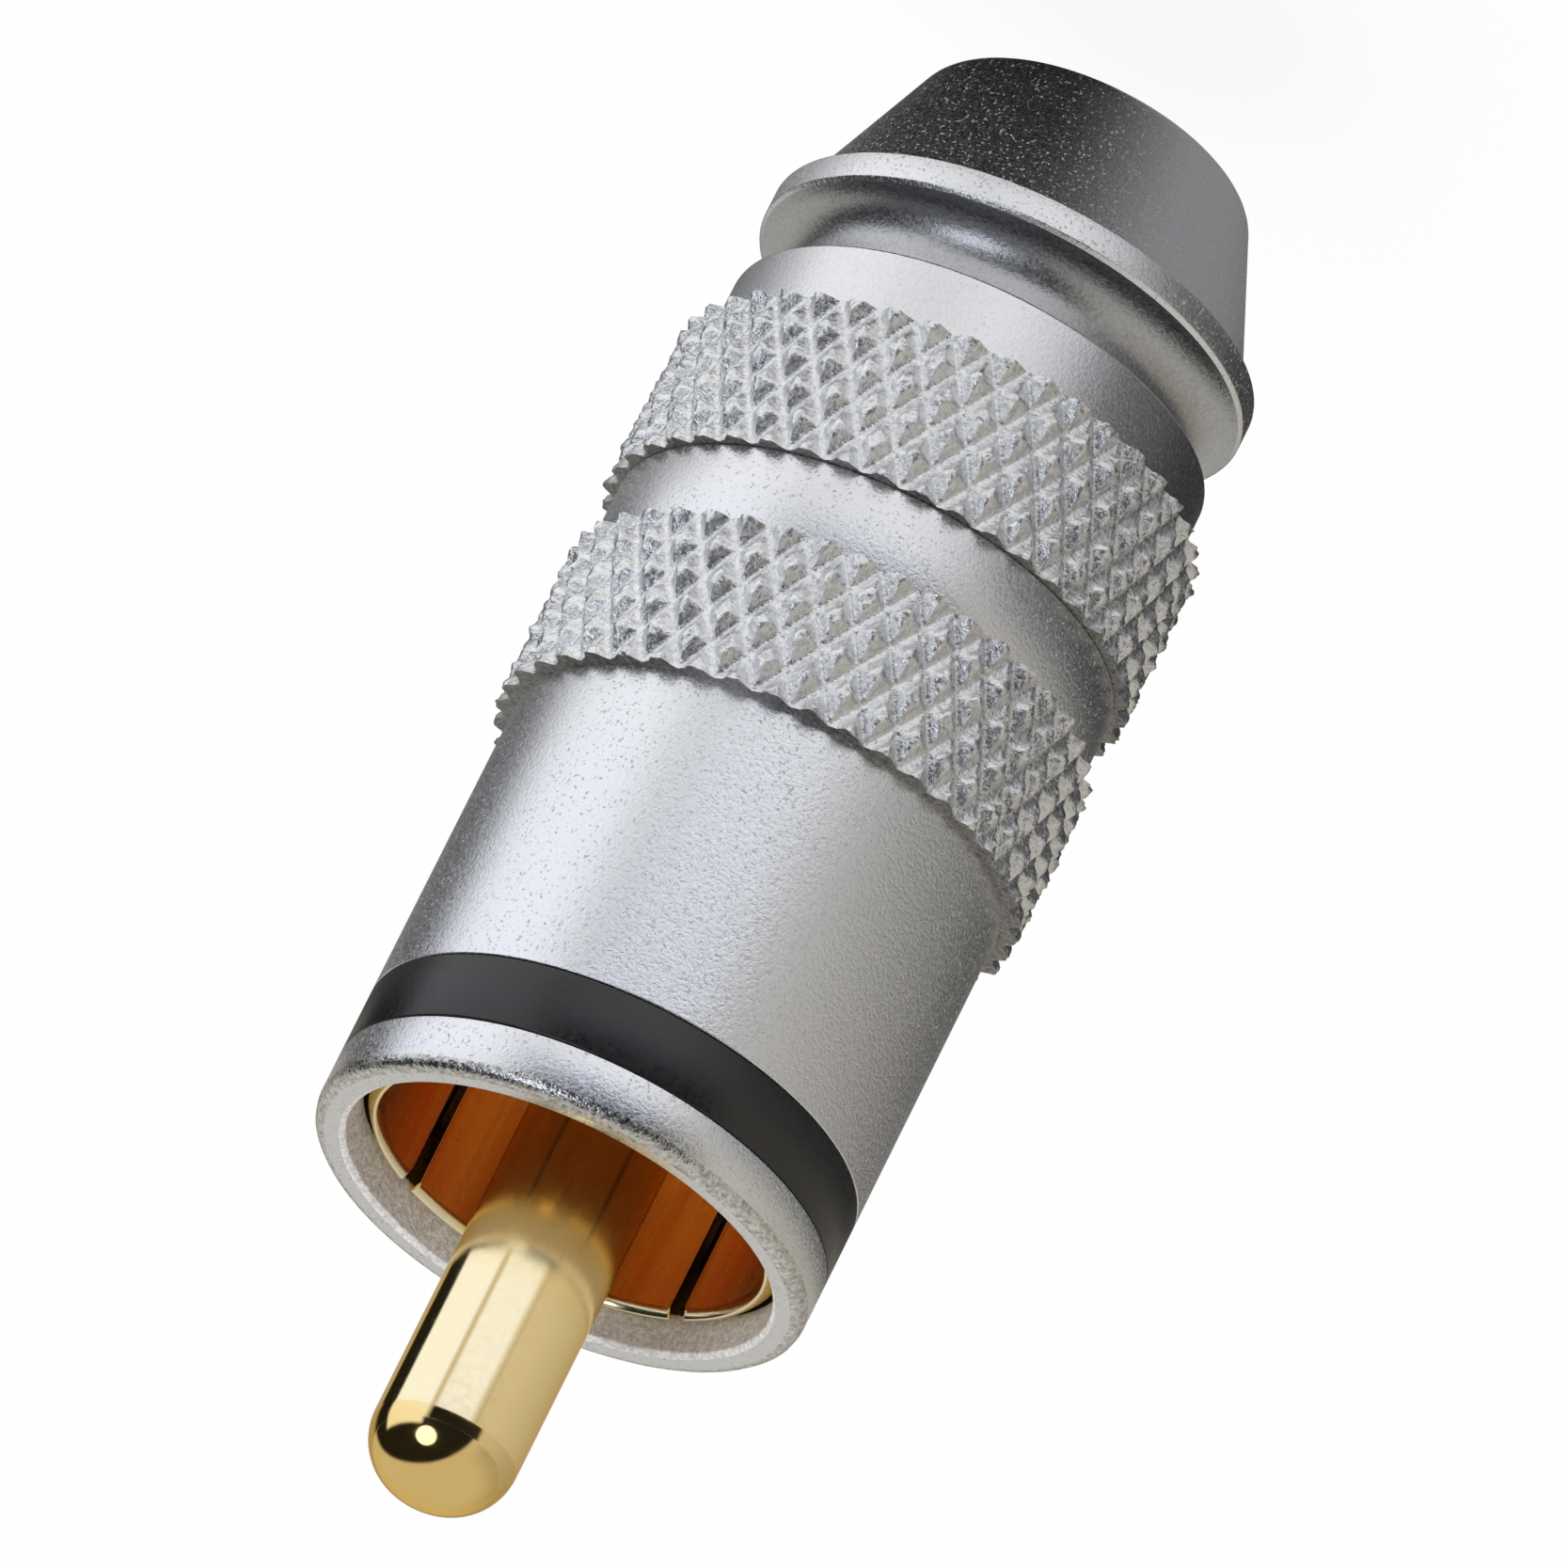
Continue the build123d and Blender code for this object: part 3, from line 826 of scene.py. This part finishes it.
def makeTail():
    tail = {
        "steps": 256,
        "coneEnd": 3.6,
        "coneEndRound": 0.5,
        "coneTop": 5.18,
        "coneTopZ": 4.04,
        "flange": 5.475,
        "flangeTop": 4.73,
        "flangeEdge": 0.08,
        "scoopRadius": 0.945,
        "neck": 4.45,
        "top": 10.35,
        "cableHole": 2.6,
        "holeChamfer": 0.2,
        "endWall": 1.0,
        "pocketTop": 3.0,
        "pocket": 3.4,
        "socketBore": 3.85,
        "scoopStep": 10,
        "holeEdge": 0.03,
        "coneEdge": 0.03,
        "rimEdge": 0.04,
        "scoopEdge": 0.02,
        "socketEdge": 0.05,
        "boreMargin": 0.1,
    }
    t = tail
    scoop = [(t["flange"] - t["flangeEdge"] - t["scoopRadius"] * math.sin(math.radians(a)),
              t["flangeTop"] + t["scoopRadius"] * (1 - math.cos(math.radians(a))), 0)
             for a in range(0, 91, t["scoopStep"])]
    outline = [
        (t["cableHole"] + t["holeChamfer"], 0, t["holeEdge"]),
        (t["coneEnd"], 0, t["coneEndRound"]),
        (t["coneTop"], t["coneTopZ"], t["coneEdge"]),
        (t["flange"], t["coneTopZ"], t["rimEdge"]),
        (t["flange"], t["flangeTop"] - t["flangeEdge"], t["scoopEdge"]),
        *scoop,
        (t["neck"], t["top"], t["socketEdge"]),
        (t["socketBore"], t["top"], t["socketEdge"]),
        (t["socketBore"], t["pocketTop"], 0),
        (t["pocket"], t["pocketTop"], 0),
        (t["pocket"], t["endWall"], 0),
        (t["cableHole"], t["endWall"], 0),
        (t["cableHole"], t["holeChamfer"], t["holeEdge"]),
    ]
    bm = wireSection(outline)
    spinSection(bm, t["steps"])
    materials = [satinNickel, shadedNeckNickel]
    # the scooped neck between flange and socket takes the darker nickel: painted shade
    paintFaces(bm, materials, shadedNeckNickel, lambda r, z, rise: z > t["flangeTop"]
               and t["socketBore"] + t["boreMargin"] < r < t["flange"] - t["flangeEdge"])
    meshPiece("tailShell", bm, materials, "tail", ["tail_shell"])


makeSleeve()
makeKnurl("frontKnurl", 13.5)
makeKnurl("rearKnurl", 7.95)
makeColourRing()
makePin()
makeSolderCup()
makeCollar()
makeTail()
print("pieces made")


# finishes of the CAD nodes that stay

nodeFinish = {
    "front_insulator": (waxyWhite, "white_insulator"),
    "rear_insulator": (waxyWhite, "white_insulator"),
    "ground_tag": (goldPlate, "gold"),
    "holding_ring": (goldPlate, "gold"),
    "insulating_tube": (clearSleeving, "clear_sleeving"),
    "friction_ring": (mattRubber, "black_rubber"),
    "stop_ring": (springSteel, "spring_steel"),
    "cable_clamp": (greyMoulded, "grey_plastic"),
    "clamp_cone": (satinNickel, "satin_nickel"),
}
for nodeName, (finish, slotName) in nodeFinish.items():
    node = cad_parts[nodeName]
    node.data.materials.clear()
    node.data.materials.append(finish)
print("nodes finished")


# floor, cards and lamps

def makeFloor():
    # low enough for the tail at its limit; white is the share that shows as plain white
    floor = {
        "half": 3.0,
        "height": -0.0036,
        "colour": (0.93, 0.93, 0.93),
        "roughness": 0.9,
        "white": 0.9,
    }
    bm = bmesh.new()
    bmesh.ops.create_grid(bm, x_segments=1, y_segments=1, size=floor["half"],
                          matrix=Matrix.Translation((0, 0, floor["height"])))
    mesh = bpy.data.meshes.new("studioFloor")
    bm.to_mesh(mesh)
    bm.free()
    piece = bpy.data.objects.new("studioFloor", mesh)
    bpy.context.scene.collection.objects.link(piece)
    material, tree, shader = newMaterial("paleFloor")
    output = tree.nodes["Material Output"]
    shader.inputs["Base Color"].default_value = (*floor["colour"], 1)
    shader.inputs["Roughness"].default_value = floor["roughness"]
    shader.inputs["Specular IOR Level"].default_value = 0
    glow = addNode(tree, "ShaderNodeEmission", Strength=1.0)
    path = addNode(tree, "ShaderNodeLightPath")
    seen = mathNode(tree, "MAXIMUM", path.outputs["Is Camera Ray"], path.outputs["Is Glossy Ray"])
    seen = mathNode(tree, "MAXIMUM", seen, path.outputs["Is Transmission Ray"])
    mix = addNode(tree, "ShaderNodeMixShader")
    tree.links.new(mathNode(tree, "MULTIPLY", seen, floor["white"]), mix.inputs[0])
    tree.links.new(shader.outputs[0], mix.inputs[1])
    tree.links.new(glow.outputs[0], mix.inputs[2])
    tree.links.new(mix.outputs[0], output.inputs["Surface"])
    mesh.materials.append(material)


def colourRamp(tree, factor, stops):
    # stops: (place, colour) with places from 0 to 1
    node = addNode(tree, "ShaderNodeValToRGB")
    ramp = node.color_ramp
    while len(ramp.elements) < len(stops):
        ramp.elements.new(0.5)
    for element, (place, _) in zip(ramp.elements, stops):
        element.position = place
    for element, (_, colour) in zip(ramp.elements, stops):
        element.color = (*colour, 1)
    tree.links.new(factor, node.inputs[0])
    return node.outputs["Color"]


def makeTableCards():
    # pale and dark cards that lie on the table round the plug and show only in its metal:
    # (turn, level) in degrees from the camera's side, growing towards +X; rings holds where
    # each card begins to give way to the next and where it has, and paleFrom is the level
    # above which a card takes its pale tint
    cards = {
        "near": 0.0002,
        "far": 2.9,
        "height": -0.00355,
        "steps": 96,
        "paleFrom": 0.75,
        "rings": ((0.0098, 0.0150), (0.0335, 0.0495), (0.066, 0.068), (0.0865, 0.0895)),
        "besideTail": [(-180, 0.25), (-150, 0.16), (-100, 0.26), (-50, 0.26), (-30, 0.18),
                       (0, 0.055), (20, 0.014), (60, 0.010), (110, 0.010), (150, 0.06),
                       (180, 0.25)],
        "behindBand": [(-180, 0.30), (-160, 0.08), (-142, 0.04), (-120, 0.03), (-100, 0.04),
                       (-77, 0.09), (-54, 0.13), (-38, 0.34), (-28, 0.64), (0, 0.96), (28, 0.84),
                       (60, 1.0), (84, 1.04), (100, 0.62), (120, 0.30), (150, 0.16), (180, 0.30)],
        "front": [(-180, 0.30), (-165, 0.14), (-142, 0.05), (-120, 0.10), (-100, 0.18),
                  (-77, 0.28), (-54, 0.40), (-36, 0.66), (-29, 0.82), (-25, 0.72), (-20, 1.0),
                  (0, 1.08), (26, 1.02), (36, 0.78), (44, 0.56), (50, 0.90), (60, 1.06),
                  (104, 1.06), (114, 0.34), (124, 0.12), (142, 0.10), (160, 0.14), (180, 0.30)],
        "pin": [(-180, 0.46), (-142, 0.48), (-100, 0.56), (-60, 0.64), (-30, 0.68), (-26, 0.56),
                (-22, 0.70), (-14, 1.06), (36, 1.06), (41, 0.62), (44, 0.62), (49, 1.08),
                (106, 1.08), (109, 0.015), (141, 0.015), (144, 0.50), (180, 0.46)],
        "beyond": [(-180, 0.44), (-142, 0.42), (-100, 0.46), (-60, 0.58), (-42, 0.60), (-36, 0.02),
                   (38, 0.012), (47, 0.98), (106, 0.98), (109, 0.012), (132, 0.012), (142, 0.44),
                   (180, 0.44)],
        "coolTint": (1.005, 1.0, 0.985),
        "pinTint": (0.945, 1.045, 1.30),
        "warmTint": (1.0, 0.93, 0.78),
    }
    c = cards
    bm = bmesh.new()
    ends = [bm.verts.new((r, 0, c["height"])) for r in (c["near"], c["far"])]
    edge = bm.edges.new(ends)
    bmesh.ops.spin(bm, geom=ends + [edge], cent=(0, 0, 0), axis=(0, 0, 1),
                   angle=2 * math.pi, steps=c["steps"], use_merge=True)
    mesh = bpy.data.meshes.new("tableCards")
    bm.to_mesh(mesh)
    bm.free()
    piece = bpy.data.objects.new("tableCards", mesh)
    bpy.context.scene.collection.objects.link(piece)
    material, tree, shader = newMaterial("tableCards")
    place, apart = turnOf(tree, objectPoint(tree))
    length = addNode(tree, "ShaderNodeVectorMath", operation="LENGTH")
    flat = addNode(tree, "ShaderNodeCombineXYZ")
    tree.links.new(apart.outputs["X"], flat.inputs["X"])
    tree.links.new(apart.outputs["Y"], flat.inputs["Y"])
    tree.links.new(flat.outputs[0], length.inputs[0])
    reach = length.outputs["Value"]

    def ring(name, pale=(1, 1, 1), dull=(1, 1, 1)):
        stops = []
        for turn, level in c[name]:
            tint = pale if level > c["paleFrom"] else dull
            stops.append(((turn + 180) / 360, tuple(level * share for share in tint)))
        return colourRamp(tree, place, stops)

    colour = ring("besideTail")
    for bounds, card in zip(c["rings"], (ring("behindBand", c["coolTint"]),
                                         ring("front", c["coolTint"]),
                                         ring("pin", c["pinTint"], c["warmTint"]),
                                         ring("beyond", c["coolTint"], c["warmTint"]))):
        colour = mixColours(tree, spread(tree, reach, *bounds, 0, 1), colour, card)
    glow = addNode(tree, "ShaderNodeEmission", Strength=1.0)
    tree.links.new(colour, glow.inputs["Color"])
    tree.links.new(glow.outputs[0], tree.nodes["Material Output"].inputs["Surface"])
    tree.nodes.remove(shader)
    mesh.materials.append(material)
    piece.visible_camera = False
    piece.visible_diffuse = False
    piece.visible_shadow = False
    piece.visible_transmission = False


lamps = {
    "keyLamp": {
        "place": (0.149, -0.208, 0.1706),
        "size": 0.16,
        "power": 0.13,
        "colour": (0.97, 1.0, 1.1),
        "shows": True,
    },
    "topLamp": {
        "place": (-0.05, 0.12, 0.7),
        "size": 0.5,
        "power": 2.4,
        "colour": (1.0, 1.0, 1.0),
        "shows": False,
    },
}


def makeLamp(name):
    # shows: whether the metal mirrors the lamp
    values = lamps[name]
    light = bpy.data.lights.new(name, "AREA")
    light.shape = "DISK"
    light.size = values["size"]
    light.energy = values["power"]
    light.color = values["colour"]
    lamp = bpy.data.objects.new(name, light)
    bpy.context.scene.collection.objects.link(lamp)
    lamp.location = values["place"]
    lamp.rotation_euler = Vector(values["place"]).to_track_quat("Z", "Y").to_euler()
    lamp.visible_glossy = values["shows"]


def makeWorld():
    # what the metal mirrors above the table: a pale room, a dark cap round one direction, a
    # side card and a shade, each between two turns and fading out between two rises
    studio = {
        "diffuse": 0.55,
        "pale": (0.60, 0.58, 0.53),
        "dark": (0.014, 0.014, 0.015),
        "darkTurn": 49.5,
        "darkRise": -10,
        "darkEdge": (0.08, 0.16),
        "sideCard": (0.97, 1.0, 1.03),
        "sideTurns": (44, 49, 105, 109),
        "sideRise": (8, 13),
        "shade": (0.43, 0.40, 0.33),
        "shadeTurns": (-165, -135, -60, -38),
        "shadeRise": (4, 34),
    }
    world = bpy.data.worlds.new("studio")
    bpy.context.scene.world = world
    world.use_nodes = True
    tree = world.node_tree
    direction = addNode(tree, "ShaderNodeTexCoord").outputs["Generated"]
    turn, rise = math.radians(studio["darkTurn"]), math.radians(studio["darkRise"])
    towards = addNode(tree, "ShaderNodeVectorMath", operation="DOT_PRODUCT")
    tree.links.new(direction, towards.inputs[0])
    towards.inputs[1].default_value = (math.sin(turn) * math.cos(rise),
                                       -math.cos(turn) * math.cos(rise), math.sin(rise))
    dark = spread(tree, towards.outputs["Value"], *studio["darkEdge"], 0, 1)
    path = addNode(tree, "ShaderNodeLightPath")
    place, apart = turnOf(tree, direction)
    degrees = mathNode(tree, "MULTIPLY_ADD", place, 360.0, -180.0)

    def lowCard(turns, rise):
        across = mathNode(tree, "MULTIPLY", spread(tree, degrees, turns[0], turns[1], 0, 1),
                          spread(tree, degrees, turns[2], turns[3], 1, 0))
        low, high = (math.sin(math.radians(angle)) for angle in rise)
        return mathNode(tree, "MULTIPLY", across,
                        spread(tree, apart.outputs["Z"], low, high, 1, 0))

    glossy = mixColours(tree, lowCard(studio["shadeTurns"], studio["shadeRise"]),
                        studio["pale"], studio["shade"])
    glossy = mixColours(tree, dark, glossy, studio["dark"])
    glossy = mixColours(tree, lowCard(studio["sideTurns"], studio["sideRise"]), glossy,
                        studio["sideCard"])
    even = mixColours(tree, path.outputs["Is Camera Ray"], (studio["diffuse"],) * 3, (1, 1, 1))
    background = tree.nodes["Background"]
    background.inputs["Strength"].default_value = 1.0
    tree.links.new(mixColours(tree, path.outputs["Is Glossy Ray"], even, glossy),
                   background.inputs["Color"])


makeFloor()
makeTableCards()
makeLamp("keyLamp")
makeLamp("topLamp")
makeWorld()
print("stage set")


# camera at the photograph's angle

def makeCamera():
    view = {
        "target": (-0.15716, 0, 16.12736),
        "distance": 701.742,
        "elevation": 25.4311626,
        "roll": -153.442625,
        "lens": 782.7353,
        "sensor": 36,
    }
    tilt = math.radians(view["elevation"])
    roll = math.radians(view["roll"])
    back = Vector((0, -math.cos(tilt), math.sin(tilt)))
    side = Vector((1, 0, 0))
    rise = back.cross(side)
    right = math.cos(roll) * side + math.sin(roll) * rise
    up = -math.sin(roll) * side + math.cos(roll) * rise
    place = (Vector(view["target"]) + view["distance"] * back) * mm
    data = bpy.data.cameras.new("photoCamera")
    data.lens = view["lens"]
    data.sensor_width = view["sensor"]
    camera = bpy.data.objects.new("photoCamera", data)
    bpy.context.scene.collection.objects.link(camera)
    camera.matrix_world = Matrix(((right.x, up.x, back.x, place.x),
                                  (right.y, up.y, back.y, place.y),
                                  (right.z, up.z, back.z, place.z),
                                  (0, 0, 0, 1)))
    bpy.context.scene.camera = camera


makeCamera()
bpy.context.scene.view_settings.view_transform = "Standard"
